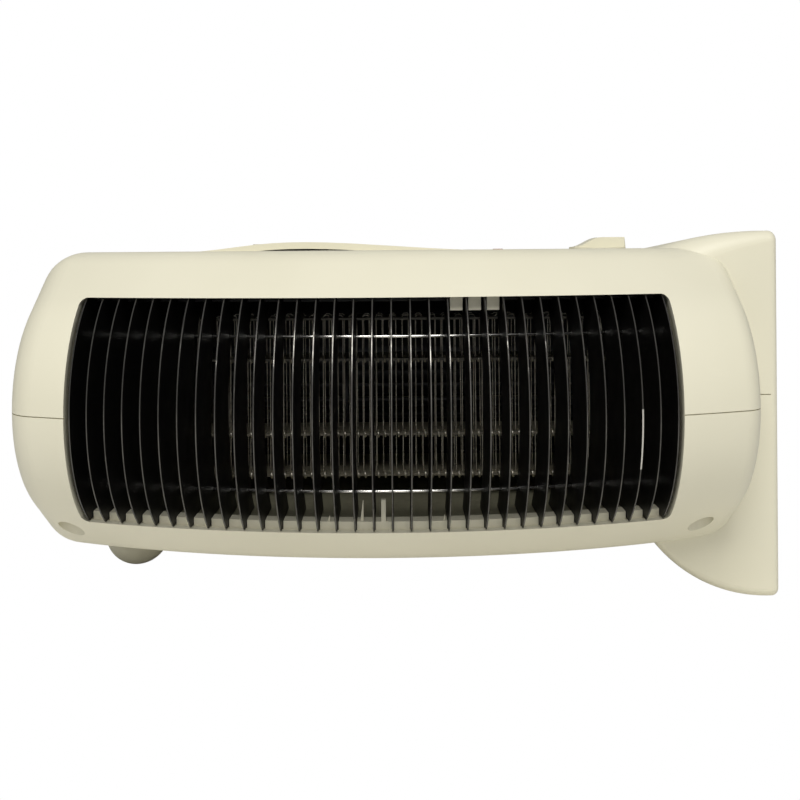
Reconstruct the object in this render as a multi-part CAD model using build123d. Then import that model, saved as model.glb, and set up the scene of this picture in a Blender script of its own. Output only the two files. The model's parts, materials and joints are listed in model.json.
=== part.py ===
from build123d import *
import os
from math import asin, cos, pi, radians, sin, sqrt

# A fan heater that stands on its flared base or, as here, lies on its long side. Its body is an
# upper and a lower shell that meet in a level seam. Finned outlet in front, inlet at the back.
#
# All functions work in one frame: x runs along the body towards the flared base, y runs back
# from the foremost line of the outlet, z runs up from the seam. save() moves each piece into the
# object's own frame, whose origin is on the floor, under the middle of the object.

# Overall sizes
BODY_LENGTH = 272.5
PAD_PROUD = 1.5
DEPTH = 160.0
SEAM_HEIGHT = 75.0
BASE_RISE = 60.6
WALL = 2.5
CLEAR = 0.3
FIT = 0.1
RUNNING_FIT = 0.05

X_LEFT = -(BODY_LENGTH + PAD_PROUD) / 2
X_BASE = X_LEFT + BODY_LENGTH
FLOOR = -SEAM_HEIGHT
FAR = 2 * BODY_LENGTH

# Front barrel: a round nose, a flat slope and a round shoulder, swung about an upright axis
# behind the heater, so that the front bows in plan
BARREL_LENGTH = 255.2
BARREL_HALF = 54.2
BARREL_BACK = 80.0
NOSE_R = 48.7
SLOPE_START = 38.2
SHOULDER_R = 18.6
PLAN_R = 345.0
BARREL_LEFT_R = 16.0
BARREL_RIGHT_R = 10.0
SWING = 80.0

BARREL_X = X_LEFT + BARREL_LENGTH / 2
SLOPE = asin(SLOPE_START / NOSE_R)
SHOULDER_Y = NOSE_R + ((BARREL_HALF - SHOULDER_R) * sin(SLOPE) - (NOSE_R - SHOULDER_R)) / cos(SLOPE)

# Rear body behind the barrel, with a low raised field on top
CORE_INSET = 6.0
CORE_DROP = 0.5
CORE_LAP = 15.0
CORE_BACK_STEP = 4.0
CORE_TOP_R = 10.0
CORE_FOOT_R = 12.0
CORE_END_R = 8.0
FIELD_START = 47.0
FIELD_CREST = 84.0
FIELD_FALL = 120.0
FIELD_END = 180.0
FIELD_RISE = 3.3
FIELD_FALL_RISE = 2.8

CORE_HALF = BARREL_HALF - CORE_DROP
CORE_LEFT = X_LEFT + CORE_INSET
CORE_FRONT = BARREL_BACK - CORE_LAP
CORE_BACK = DEPTH - CORE_BACK_STEP

# Flared base
BASE_PLATE = 3.0
FLARE_LENGTH = 50.0
FLARE_LOW_R = 52.5
FLARE_LOW_FLAT = 1.5
FLARE_FAR_R = 108.0
FLARE_FAR_FLAT = 4.0
FLARE_BACK_DROP = 5.0
FLARE_FRONT = 58.8
FLARE_CREST_START_R = 14.0
FLARE_CREST_END_R = 4.0
FLARE_LOW_EDGE_R = 3.4
FLARE_BACK_EDGE_R = 8.0
FLARE_SECTIONS = 6

X_PLATE = X_BASE - BASE_PLATE
FLARE_START = X_PLATE - FLARE_LENGTH

# Seam groove that shows as a thin line
SEAM_WIDTH = 0.36
SEAM_DEPTH = 1.0

# Outlet opening
OPEN_FROM_LEFT = 22.95
OPEN_WIDTH = 202.0
OPEN_TOP = 38.6
OPEN_BOTTOM = 39.0
OPEN_CORNER_R = 2.6

OPEN_X0 = X_LEFT + OPEN_FROM_LEFT
OPEN_X1 = OPEN_X0 + OPEN_WIDTH
OPEN_X = (OPEN_X0 + OPEN_X1) / 2

# Outlet grille: fins on edge, threaded on two cross rods, seated in two combs
FIN_COUNT = 33
FIN_PITCH = 6.2
FIN_THICK = 0.5
FIN_WIDTH = 25.0
FIN_INSET = 0.8
FIN_TAB_FRONT = 27.0
FIN_TAB_BACK = 29.4
SLOT_PLAY = 0.2
ROD_R = 0.55
ROD_BACK = 29.0
ROD_TOP = 25.0
ROD_BOTTOM = 27.5
ROD_HOLE_PLAY = 0.3
COMB_FRONT = 23.4
COMB_BACK = 30.0
TOOTH_RISE = 2.8
LUG_GAPS = (20, 21, 22)
LUG_WIDTH = 4.2
LUG_DROP = 4.9
LUG_BACK = 27.0
POST_GAP = 16
POST_WIDTH = 1.5
POST_RISE = 10.0
POST_BACK = 26.0
SIDE_PLATE = 1.3
SIDE_PLATE_BACK = 62.0
SIDE_PLATE_HALF = 44.0

FIN_FIRST_X = OPEN_X - FIN_PITCH * (FIN_COUNT - 1) / 2

# Duct of bent sheet between two cheeks
SHEET = 0.8
DUCT_SETBACK = 1.8
CHEEK = 2.0
CHEEK_FRONT = 65.0
CHEEK_TOP = 39.0
CHEEK_CORNER_R = 8.0
CHEEK_BACK = 151.0
LEFT_CHEEK_IN = 30.0
BAFFLE = 1.0
SCROLL_LIP = 8.0
TONGUE_START = 85.0
TONGUE_END_Y = 94.5
TONGUE_END_Z = 15.5

SIDE_X0 = OPEN_X0 - CLEAR
SIDE_X1 = OPEN_X1 + CLEAR
DUCT_X0 = OPEN_X0 + LEFT_CHEEK_IN
DUCT_FLOOR = -(OPEN_BOTTOM - DUCT_SETBACK)
DUCT_ROOF = OPEN_TOP - DUCT_SETBACK

# Cross-flow blower
WHEEL_R = 27.0
WHEEL_GAP = 4.6
WHEEL_Y = 118.0
WHEEL_END_PLAY = 3.0
WHEEL_DISC = 2.0
RING = 1.2
RING_IN_R = 20.0
RING_COUNT = 2
BLADES = 28
BLADE = 0.9
BLADE_OUT_R = 26.5
BLADE_MID_R = 23.4
BLADE_IN_R = 20.4
BLADE_MID_TURN = 6.5
BLADE_IN_TURN = 8.0
HUB_R = 8.0
HUB_LENGTH = 12.0
SHAFT_R = 2.5

WHEEL_Z = DUCT_FLOOR + WHEEL_GAP + WHEEL_R
WHEEL_X0 = DUCT_X0 + WHEEL_END_PLAY
WHEEL_X1 = SIDE_X1 - WHEEL_END_PLAY

# Far bearing in the right cheek
MOUNT_R = 8.0
MOUNT_FLANGE_R = 10.0
MOUNT_FLANGE = 1.4
BUSH_R = 4.0
STUB_OUT = 5.0

# Shaded-pole motor behind the left cheek
STACK = 15.0
STACK_HALF_WIDTH = 24.0
STACK_BELOW = 22.0
STACK_ABOVE = 46.0
STACK_BORE_R = 13.0
LEG_HEIGHT = 12.0
WINDOW_HALF = 15.0
WINDOW_HEIGHT = 16.0
BRACKET = 2.0
BRACKET_STANDOFF = 7.0
BRACKET_FOOT = 6.0
BRACKET_HALF_HEIGHT = 8.0
BOSS_R = 6.5
BOSS_LENGTH = 4.0
MOTOR_BUSH_R = 4.5
ROTOR_R = 12.5
BOBBIN = 1.0
BOBBIN_RISE = 8.4
WINDING_RISE = 7.2
WINDING_R = 3.5
SHAFT_TAIL = 3.0
MOTOR_SCREW_R = 1.5
MOTOR_SCREW_HEAD_R = 3.0
MOTOR_SCREW_HEAD = 2.0
MOTOR_SCREW_IN = 3.0
MOTOR_SCREW_END = 0.6

CHEEK_X0 = DUCT_X0 - CHEEK
STACK_X1 = CHEEK_X0 - BRACKET - BRACKET_STANDOFF
STACK_X0 = STACK_X1 - STACK
STACK_TOP = WHEEL_Z + STACK_ABOVE
LEG_Z = STACK_TOP - LEG_HEIGHT

# Heating element
ELEMENT_FRONT = 60.0
ELEMENT_DEPTH = 24.0
ELEMENT_LENGTH = 161.5
ELEMENT_FROM_CHEEK = 5.2
BOARD = 0.8
BOARD_INNER_Z = 13.8
BOARD_OUTER_Z = 28.8
END_BOARD = 1.0
WIRE_R = 0.4
WIRE_HOLE_R = 0.75
WIRE_LOOPS = 12
WIRE_BEND_R = 1.1
WIRE_MARGIN = 6.0
WIRE_TAIL = 2.6
WIRE_LIFT = 0.2
WIRE_ROWS = (4.5, 14.5)

ELEMENT_X0 = DUCT_X0 + ELEMENT_FROM_CHEEK
ELEMENT_X1 = ELEMENT_X0 + ELEMENT_LENGTH

# Thermal cut-out on the duct roof
CUTOUT_SIZE = (18.0, 12.0, 6.0)
CUTOUT_FROM_CHEEK = 106.0
CUTOUT_Y = 70.0

# Controls on top
SPINDLE_R = 3.0
SPINDLE_HOLE_PLAY = 0.4
CONTROL_Y = 110.0
KNOB_FROM_PLATE = 53.4
KNOB_R = 11.6
KNOB_DISC = 1.3
KNOB_LIFT = 0.3
KNOB_WELL = 0.6
KNOB_WELL_PLAY = 0.6
GRIP_HALF = 5.5
GRIP_RISE = 4.2
GRIP_LOW = 0.15
GRIP_CREST_FROM = 1.5
GRIP_CREST_TO = 10.2
GRIP_FOOT = 11.3
SWITCH_SIZE = (17.0, 22.0, 11.0)
SPINDLE_IN = 9.0
KNOB_SOCKET = 2.4
DIAL_FROM_LEFT = 86.0
DIAL_R = 14.0
DIAL_THICK = 1.7
DIAL_WELL_PLAY = 0.6
DIAL_FLUTES = 24
DIAL_FLUTE_R = 0.7
DIAL_BOSS_WALL = 3.0
DIAL_BOSS_DEPTH = 5.6
THERMOSTAT_SIZE = (28.0, 24.0, 14.0)
LAMP_FROM_LEFT = 174.5
LENS_R = 2.4
LENS_RISE = 0.7
LENS_IN = 5.0
LAMP_R = 3.2
LAMP_LENGTH = 13.0

KNOB_X = X_PLATE - KNOB_FROM_PLATE
DIAL_X = X_LEFT + DIAL_FROM_LEFT
LAMP_X = X_LEFT + LAMP_FROM_LEFT
CORE_INNER_TOP = CORE_HALF - WALL
FIELD_TOP = CORE_HALF + FIELD_RISE

# Terminal block, leads and cord inlet
BLOCK_SIZE = (14.0, 30.0, 14.0)
BLOCK_EDGE_R = 1.0
BLOCK_Z = -24.0
BLOCK_Y = 112.0
LEAD_R = 1.2
LEAD_BEND_R = 6.0
LEAD_Z = 43.0
LEAD_OFFSET_Y = -5.0
GLAND_FROM_PLATE = 54.0
GLAND_Z = -31.5
GLAND_R = 6.0
GLAND_FLANGE_R = 8.5
GLAND_FLANGE = 2.4
GLAND_NUT = 2.5
GLAND_BORE_R = 3.6
GLAND_EDGE_R = 0.8

GLAND_X = X_PLATE - GLAND_FROM_PLATE

# Inlet at the back
INLET_FROM_LEFT = 28.5
INLET_LENGTH = 170.0
INLET_HALF = 37.0
INLET_CORNER_R = 4.0
INLET_LAP = 4.0
INLET_FLANGE = 2.2
INLET_SLOT = 3.4
INLET_SLOT_HEIGHT = 20.0
INLET_PITCH = 6.6
INLET_ROW_PITCH = 23.5
INLET_ROWS = 3
INLET_MARGIN = 6.0

INLET_X0 = X_LEFT + INLET_FROM_LEFT
INLET_X1 = INLET_X0 + INLET_LENGTH

# Shell screws in posts, base screws, base pads, resting foot
POST_R = 5.0
FRONT_SCREW_OUT = 111.8
FRONT_SCREW_Y = 46.0
REAR_SCREW_FROM_LEFT = 19.3
REAR_SCREW_FROM_PLATE = 27.0
REAR_SCREW_Y = 147.7
RECESS_R = 4.5
RECESS_SEAT = 30.0
SCREW_R = 1.7
SCREW_HEAD_R = 3.0
SCREW_HEAD = 2.2
SCREW_BITE = 16.0
BASE_POST_R = 4.5
BASE_POST_LENGTH = 12.0
BASE_POST_IN = 6.4
BASE_POST_LOWER = 4.0
BASE_POST_FROM_FRONT = 13.0
BASE_POST_FROM_BACK = 12.0
BASE_SCREW_HEAD_R = 3.2
BASE_SCREW_SINK = 1.8
PAD_R = 7.0
PAD_SINK = 0.8
PAD_IN = 22.0
PLATE_EDGE_R = 2.6
FOOT_FROM_LEFT = 23.5
FOOT_Y = 108.0
FOOT_R = 13.0
FOOT_FLAT = 0.4
FOOT_STEM_R = 4.0
FOOT_STEM = 6.0

POSTS = (
    (BARREL_X - FRONT_SCREW_OUT, FRONT_SCREW_Y),
    (BARREL_X + FRONT_SCREW_OUT, FRONT_SCREW_Y),
    (X_LEFT + REAR_SCREW_FROM_LEFT, REAR_SCREW_Y),
    (X_PLATE - REAR_SCREW_FROM_PLATE, REAR_SCREW_Y),
)
BASE_POSTS = (
    (FLARE_FRONT + BASE_POST_FROM_FRONT, FLOOR + BASE_POST_IN),
    (FLARE_FRONT + BASE_POST_FROM_FRONT, BASE_RISE - BASE_POST_IN),
    (DEPTH - BASE_POST_FROM_BACK, FLOOR + BASE_POST_IN),
    (DEPTH - BASE_POST_FROM_BACK, BASE_RISE - BASE_POST_IN - BASE_POST_LOWER),
)
PADS = [
    (y, z)
    for y in (FLARE_FRONT + PAD_IN, DEPTH - PAD_IN)
    for z in (FLOOR + PAD_IN, BASE_RISE - PAD_IN)
]
FOOT_X = X_LEFT + FOOT_FROM_LEFT


# Plain solids and sketches

def block(x0, x1, y0, y1, z0, z1):
    """Box between two opposite corners."""
    middle = Pos((x0 + x1) / 2, (y0 + y1) / 2, (z0 + z1) / 2)
    return middle * Box(x1 - x0, y1 - y0, z1 - z0)


def rod_x(radius, x0, x1, y, z):
    """Round bar along x."""
    return Pos((x0 + x1) / 2, y, z) * Rot(0, 90, 0) * Cylinder(radius, x1 - x0)


def rod_y(radius, y0, y1, x, z):
    """Round bar along y."""
    return Pos(x, (y0 + y1) / 2, z) * Rot(90, 0, 0) * Cylinder(radius, y1 - y0)


def rod_z(radius, z0, z1, x, y):
    """Round bar along z."""
    return Pos(x, y, (z0 + z1) / 2) * Cylinder(radius, z1 - z0)


def side_prism(face, x0, x1):
    """Side view in y and z, drawn out along x."""
    return extrude(Plane.YZ.offset(x0) * face, x1 - x0)


def swung(face):
    """Side view in y and z, swung about the upright axis that gives the front its bow."""
    axis = Axis((BARREL_X, PLAN_R, 0), (0, 0, 1))
    turned = revolve(Plane.YZ.offset(BARREL_X) * face, axis=axis, revolution_arc=SWING)
    return turned.rotate(axis, -SWING / 2)


def rectangle(y0, y1, z0, z1):
    """Side view of a plain rectangle."""
    return Pos((y0 + y1) / 2, (z0 + z1) / 2) * Rectangle(y1 - y0, z1 - z0)


def outline(lines):
    """Side view bounded by a list of lines and arcs."""
    return make_face(lines)


def loops(points):
    """Straight lines from each point to the next and back to the first."""
    return [Line(a, b) for a, b in zip(points, points[1:] + points[:1])]


def polar(centre, radius, angle):
    """Point at an angle above the forward direction."""
    return (centre[0] - radius * cos(angle), centre[1] + radius * sin(angle))


def group(solids):
    """Separate solids that share one node."""
    return Compound(children=list(solids))


# Outer body, and the same body drawn in by an inset, which is the hollow inside the wall

def slope_z(y, inset):
    """Height of the barrel's flat slope at y, the skin drawn in by inset."""
    start = polar((NOSE_R, 0), NOSE_R - inset, SLOPE)
    return start[1] + (y - start[0]) * cos(SLOPE) / sin(SLOPE)


def slope_y(z, inset):
    """Place where the barrel's flat slope reaches the height z."""
    start = polar((NOSE_R, 0), NOSE_R - inset, SLOPE)
    return start[0] + (z - start[1]) * sin(SLOPE) / cos(SLOPE)


def nose_outline(inset, back):
    """Side view of the barrel, back to y = back."""
    nose = (NOSE_R, 0)
    upper = (SHOULDER_Y, BARREL_HALF - SHOULDER_R)
    lower = (SHOULDER_Y, SHOULDER_R - BARREL_HALF)
    half = BARREL_HALF - inset
    nose_r = NOSE_R - inset
    shoulder_r = SHOULDER_R - inset
    middle = (SLOPE + pi / 2) / 2
    return outline([
        Line((back, -half), (SHOULDER_Y, -half)),
        ThreePointArc((SHOULDER_Y, -half), polar(lower, shoulder_r, -middle),
                      polar(lower, shoulder_r, -SLOPE)),
        Line(polar(lower, shoulder_r, -SLOPE), polar(nose, nose_r, -SLOPE)),
        ThreePointArc(polar(nose, nose_r, -SLOPE), (inset, 0), polar(nose, nose_r, SLOPE)),
        Line(polar(nose, nose_r, SLOPE), polar(upper, shoulder_r, SLOPE)),
        ThreePointArc(polar(upper, shoulder_r, SLOPE), polar(upper, shoulder_r, middle),
                      (SHOULDER_Y, half)),
        Line((SHOULDER_Y, half), (back, half)),
        Line((back, half), (back, -half)),
    ])


def flat_edges(solid, x, back):
    """Edges that lie in the end face at x and in front of y = back."""
    found = []
    for edge in solid.edges():
        low, high = edge.bounding_box().min, edge.bounding_box().max
        if max(abs(low.X - x), abs(high.X - x)) < FIT and edge.center().Y < back - FIT:
            found.append(edge)
    return found


def barrel(inset):
    """Front barrel with rounded ends."""
    x0 = X_LEFT + inset
    x1 = X_LEFT + BARREL_LENGTH - inset
    back = BARREL_BACK - inset
    solid = swung(nose_outline(inset, BARREL_BACK + CORE_LAP))
    solid = solid & block(x0, x1, -WALL, back, -DEPTH, DEPTH)
    solid = fillet(flat_edges(solid, x0, back), BARREL_LEFT_R - inset)
    return fillet(flat_edges(solid, x1, back), BARREL_RIGHT_R - inset)


def core(inset):
    """Rear body. Its front view has the raised field, and its back edges are round."""
    x0 = CORE_LEFT + inset
    x1 = FLARE_START + CORE_LAP
    top = CORE_HALF - inset
    back = CORE_BACK - inset
    field = Spline(
        (X_LEFT + FIELD_START, top), (X_LEFT + FIELD_CREST, top + FIELD_RISE),
        (X_LEFT + FIELD_FALL, top + FIELD_FALL_RISE), (X_LEFT + FIELD_END, top),
        tangents=((1, 0), (1, 0)),
    )
    face = make_face([
        Line((x0, -top), (x0, top)),
        Line((x0, top), field @ 0),
        field,
        Line(field @ 1, (x1, top)),
        Line((x1, top), (x1, -top)),
        Line((x1, -top), (x0, -top)),
    ])
    solid = extrude(Plane.XZ.offset(-back) * face, back - CORE_FRONT)
    for side, radius in ((1, CORE_TOP_R), (-1, CORE_FOOT_R)):
        rear = [e for e in solid.edges() if abs(e.center().Y - back) < FIT]
        solid = fillet([e for e in rear if side * e.center().Z > top - FIT], radius - inset)
    return fillet(flat_edges(solid, x0, FAR), CORE_END_R - inset)


def sag(x, radius, flat):
    """How far an arc that runs out level before the base has fallen away at x."""
    run = max(X_PLATE - flat - x, 0)
    return radius - sqrt(radius ** 2 - run ** 2)


def flare_section(x, inset):
    """Side view of the flared base at x."""
    share = min((x - FLARE_START) / FLARE_LENGTH, 1)
    crest_r = FLARE_CREST_START_R + (FLARE_CREST_END_R - FLARE_CREST_START_R) * share
    y0 = FLARE_FRONT + inset
    y1 = DEPTH - sag(x, FLARE_FAR_R, FLARE_FAR_FLAT) - inset
    z0 = FLOOR + sag(x, FLARE_LOW_R, FLARE_LOW_FLAT) + inset
    z1 = BASE_RISE - sag(x, FLARE_FAR_R, FLARE_FAR_FLAT) - inset
    corners = (
        (y0, z0, FLARE_LOW_EDGE_R),
        (y0, z1, crest_r),
        (y1, z1 - FLARE_BACK_DROP, FLARE_BACK_EDGE_R),
        (y1, z0, FLARE_BACK_EDGE_R),
    )
    face = outline(loops([(y, z) for y, z, _ in corners]))
    for y, z, radius in corners:
        corner = face.vertices().sort_by_distance(Vertex(y, z, 0))[0]
        face = fillet(corner, radius - inset)
    return face


def flare(inset, x1):
    """Flared base as a loft, from inside the rear body to x1."""
    sections = []
    for i in range(FLARE_SECTIONS):
        x = FLARE_START + (x1 - FLARE_START) * i / (FLARE_SECTIONS - 1)
        sections.append(Plane.YZ.offset(x) * flare_section(x, inset))
    return loft(sections)


def body(inset, flare_end):
    """Whole body as one closed solid."""
    return barrel(inset) + core(inset) + flare(inset, flare_end)


# Shells

def opening_cut():
    """Prism through the front for the outlet."""
    cut = block(OPEN_X0, OPEN_X1, -WALL, SHOULDER_Y, -OPEN_BOTTOM, OPEN_TOP)
    return fillet(cut.edges().filter_by(Axis.Y), OPEN_CORNER_R)


def inlet_cut(grow):
    """Prism through the back wall for the inlet grille, grown on all sides."""
    cut = block(INLET_X0 - grow, INLET_X1 + grow, CORE_BACK - WALL - CLEAR, CORE_BACK + CLEAR,
                -INLET_HALF - grow, INLET_HALF + grow)
    return fillet(cut.edges().filter_by(Axis.Y), INLET_CORNER_R)


def upper_posts(skin):
    """Screw posts of the upper shell, with the boss under the thermostat dial."""
    posts = [rod_z(POST_R, 0, BASE_RISE, x, y) for x, y in POSTS]
    posts.append(rod_z(DIAL_R + DIAL_WELL_PLAY + DIAL_BOSS_WALL,
                       FIELD_TOP - DIAL_BOSS_DEPTH - DIAL_THICK, FIELD_TOP + CLEAR,
                       DIAL_X, CONTROL_Y))
    posts += [rod_x(BASE_POST_R, X_PLATE - BASE_POST_LENGTH, X_PLATE, y, z)
              for y, z in BASE_POSTS if z > 0]
    return [post & skin for post in posts]


def lower_posts(skin):
    """Screw posts of the lower shell."""
    posts = [rod_z(POST_R, FLOOR, 0, x, y) for x, y in POSTS]
    posts += [rod_x(BASE_POST_R, X_PLATE - BASE_POST_LENGTH, X_PLATE, y, z)
              for y, z in BASE_POSTS if z < 0]
    return [post & skin for post in posts]


def base_screw_holes():
    """Pilot holes of the base screws."""
    return [rod_x(SCREW_R + FIT, X_PLATE - BASE_POST_LENGTH, X_PLATE + CLEAR, y, z)
            for y, z in BASE_POSTS]


def shells():
    """Upper and lower shell, split at the seam."""
    skin = body(0, X_PLATE)
    hollow = body(WALL, X_PLATE + CLEAR)
    core_of_groove = body(SEAM_DEPTH, X_PLATE + CLEAR)
    groove = block(-FAR, FAR, -FAR, FAR, -SEAM_WIDTH / 2, SEAM_WIDTH / 2) - core_of_groove
    wall = skin - hollow - opening_cut() - inlet_cut(0) - groove
    upper = wall & block(-FAR, FAR, -FAR, FAR, 0, FAR)
    lower = wall & block(-FAR, FAR, -FAR, FAR, -FAR, 0)

    upper = upper + upper_posts(skin)
    pilots = [rod_z(SCREW_R + FIT, -CLEAR, SCREW_BITE + WALL, x, y) for x, y in POSTS]
    spindles = [rod_z(SPINDLE_R + SPINDLE_HOLE_PLAY, 0, FAR, x, CONTROL_Y)
                for x in (KNOB_X, DIAL_X)]
    well = rod_z(DIAL_R + DIAL_WELL_PLAY, FIELD_TOP - DIAL_THICK - CLEAR, FAR, DIAL_X, CONTROL_Y)
    knob_well = rod_z(KNOB_R + KNOB_WELL_PLAY, CORE_HALF - KNOB_WELL, FAR, KNOB_X, CONTROL_Y)
    lamp_hole = rod_z(LENS_R + FIT, 0, FAR, LAMP_X, CONTROL_Y)
    upper = upper - pilots - spindles - well - knob_well - lamp_hole - base_screw_holes()

    lower = lower + lower_posts(skin)
    recesses = [rod_z(RECESS_R, FLOOR - CLEAR, -RECESS_SEAT, x, y) for x, y in POSTS]
    front = barrel(0)
    recesses = [r & front if r.center().Y < BARREL_BACK else r for r in recesses]
    ways = [rod_z(SCREW_R + CLEAR, -RECESS_SEAT - CLEAR, CLEAR, x, y) for x, y in POSTS]
    gland_hole = rod_y(GLAND_R + FIT, CORE_BACK - WALL - CLEAR, CORE_BACK + CLEAR, GLAND_X, GLAND_Z)
    foot_hole = rod_z(FOOT_STEM_R + FIT, -CORE_HALF - CLEAR, WALL - CORE_HALF + CLEAR,
                      FOOT_X, FOOT_Y)
    lower = lower - recesses - ways - gland_hole - foot_hole - base_screw_holes()
    return skin, upper, lower


def shell_screws():
    """Screws that hold the shells together, driven from below."""
    screws = []
    for x, y in POSTS:
        head = rod_z(SCREW_HEAD_R, -RECESS_SEAT - SCREW_HEAD, -RECESS_SEAT, x, y)
        shank = rod_z(SCREW_R, -RECESS_SEAT, SCREW_BITE, x, y)
        slot = block(x - SCREW_HEAD_R, x + SCREW_HEAD_R, y - CLEAR, y + CLEAR,
                     -RECESS_SEAT - SCREW_HEAD, -RECESS_SEAT - SCREW_HEAD / 2)
        screws.append(head + shank - slot)
    return group(screws)


# Outlet grille

def fin_edge(side, lip, inner, tab):
    """Points along the upper (side 1) or lower (side -1) end of a fin, front to back."""
    radius = NOSE_R - FIN_INSET
    return [
        polar((NOSE_R, 0), radius, side * asin(lip / radius)),
        (FIN_TAB_FRONT, side * lip),
        (FIN_TAB_FRONT, side * tab),
        (FIN_TAB_BACK, side * tab),
        (FIN_TAB_BACK, side * inner),
        polar((NOSE_R + FIN_WIDTH, 0), radius, side * asin(inner / radius)),
    ]


def fin_outline():
    """Side view of a fin, its hollow back edge a copy of its front edge."""
    tab = slope_z(FIN_TAB_FRONT, WALL + CLEAR) - 2 * CLEAR
    top = fin_edge(1, OPEN_TOP - CLEAR, DUCT_ROOF - CLEAR, tab)
    low = fin_edge(-1, OPEN_BOTTOM - CLEAR, -DUCT_FLOOR - CLEAR, tab)
    return outline([
        ThreePointArc(low[0], (FIN_INSET, 0), top[0]),
        *[Line(a, b) for a, b in zip(top, top[1:])],
        ThreePointArc(top[-1], (FIN_INSET + FIN_WIDTH, 0), low[-1]),
        *[Line(a, b) for a, b in zip(low[::-1], low[-2::-1])],
    ])


def cross_rod(radius, z):
    """Bowed round bar along the back of the fins."""
    return swung(Pos(ROD_BACK, z) * Circle(radius))


def fin_slabs(half):
    """Thin upright slices of space, one at each fin."""
    for i in range(FIN_COUNT):
        x = FIN_FIRST_X + i * FIN_PITCH
        yield block(x - half, x + half, -WALL, DEPTH, -DEPTH, DEPTH)


def grille_fins():
    """All fins, each a slice of the same swung band."""
    band = swung(fin_outline())
    band = band - [cross_rod(ROD_R + ROD_HOLE_PLAY, z) for z in (ROD_TOP, -ROD_BOTTOM)]
    return group(band & slab for slab in fin_slabs(FIN_THICK / 2))


def grille_rods():
    """The two cross rods, from one side plate to the other."""
    span = block(SIDE_X0 - SIDE_PLATE, SIDE_X1 + SIDE_PLATE, -WALL, DEPTH, -DEPTH, DEPTH)
    return group(cross_rod(ROD_R, z) & span for z in (ROD_TOP, -ROD_BOTTOM))


def comb(side, edge, tooth_rise):
    """Comb behind the upper (side 1) or lower (side -1) lip of the opening."""
    face_z = edge + 2 * FIT
    front = slope_y(face_z, WALL + FIT)
    teeth_front = max(COMB_FRONT, slope_y(face_z + FIT, WALL + FIT))
    bar = outline(loops([
        (front, side * face_z),
        (COMB_BACK, side * face_z),
        (COMB_BACK, side * slope_z(COMB_BACK, WALL + FIT)),
    ]))
    tab_end = slope_z(FIN_TAB_FRONT, WALL + CLEAR) - CLEAR
    piece = swung(bar)
    if tooth_rise:
        rise = sorted((side * (face_z - tooth_rise), side * (face_z + FIT)))
        piece = piece + swung(rectangle(teeth_front, COMB_BACK, *rise))
    slots = [slab & block(-FAR, FAR, -WALL, DEPTH, *sorted((0, side * tab_end)))
             for slab in fin_slabs(FIN_THICK / 2 + SLOT_PLAY)]
    piece = piece - slots
    return piece & block(SIDE_X0, SIDE_X1, -WALL, DEPTH, -DEPTH, DEPTH)


def gap_post(gap, width, back, side, z_from, z_to):
    """Small upright block in the gap between two fins, behind the comb's front face."""
    x = FIN_FIRST_X + (gap + 0.5) * FIN_PITCH
    front = max(COMB_FRONT, slope_y(z_to, WALL + FIT))
    solid = swung(rectangle(front, back, *sorted((side * z_from, side * z_to))))
    return solid & block(x - width / 2, x + width / 2, -WALL, DEPTH, -DEPTH, DEPTH)


def upper_comb():
    """Upper comb with its three longer lugs."""
    face_z = OPEN_TOP + 2 * FIT
    lugs = [gap_post(gap, LUG_WIDTH, LUG_BACK, 1, face_z - LUG_DROP, face_z) for gap in LUG_GAPS]
    return comb(1, OPEN_TOP, 0) + lugs


def lower_comb():
    """Lower comb with its small upright post."""
    face_z = OPEN_BOTTOM + 2 * FIT
    post = gap_post(POST_GAP, POST_WIDTH, POST_BACK, -1, face_z - POST_RISE, face_z)
    return comb(-1, OPEN_BOTTOM, TOOTH_RISE) + post


def side_plates():
    """Plates that close the grille at both ends and hold the cross rods."""
    solid = swung(nose_outline(WALL + CLEAR, BARREL_BACK))
    solid = solid & block(-FAR, FAR, -FAR, SIDE_PLATE_BACK, -SIDE_PLATE_HALF, SIDE_PLATE_HALF)
    solid = solid - [cross_rod(ROD_R + FIT, z) for z in (ROD_TOP, -ROD_BOTTOM)]
    left = solid & block(SIDE_X0 - SIDE_PLATE, SIDE_X0, -FAR, FAR, -FAR, FAR)
    right = solid & block(SIDE_X1, SIDE_X1 + SIDE_PLATE, -FAR, FAR, -FAR, FAR)
    return group([left, right])


# Duct

def trimmed_sheet(sheet):
    """Front edge cut to the bow of the combs, and the motor's corner cut out."""
    sheet = sheet - swung(rectangle(-DEPTH / 2, COMB_BACK + FIT, -DEPTH, DEPTH))
    return sheet - block(-FAR, DUCT_X0, CHEEK_FRONT - CLEAR, FAR, -FAR, FAR)


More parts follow.
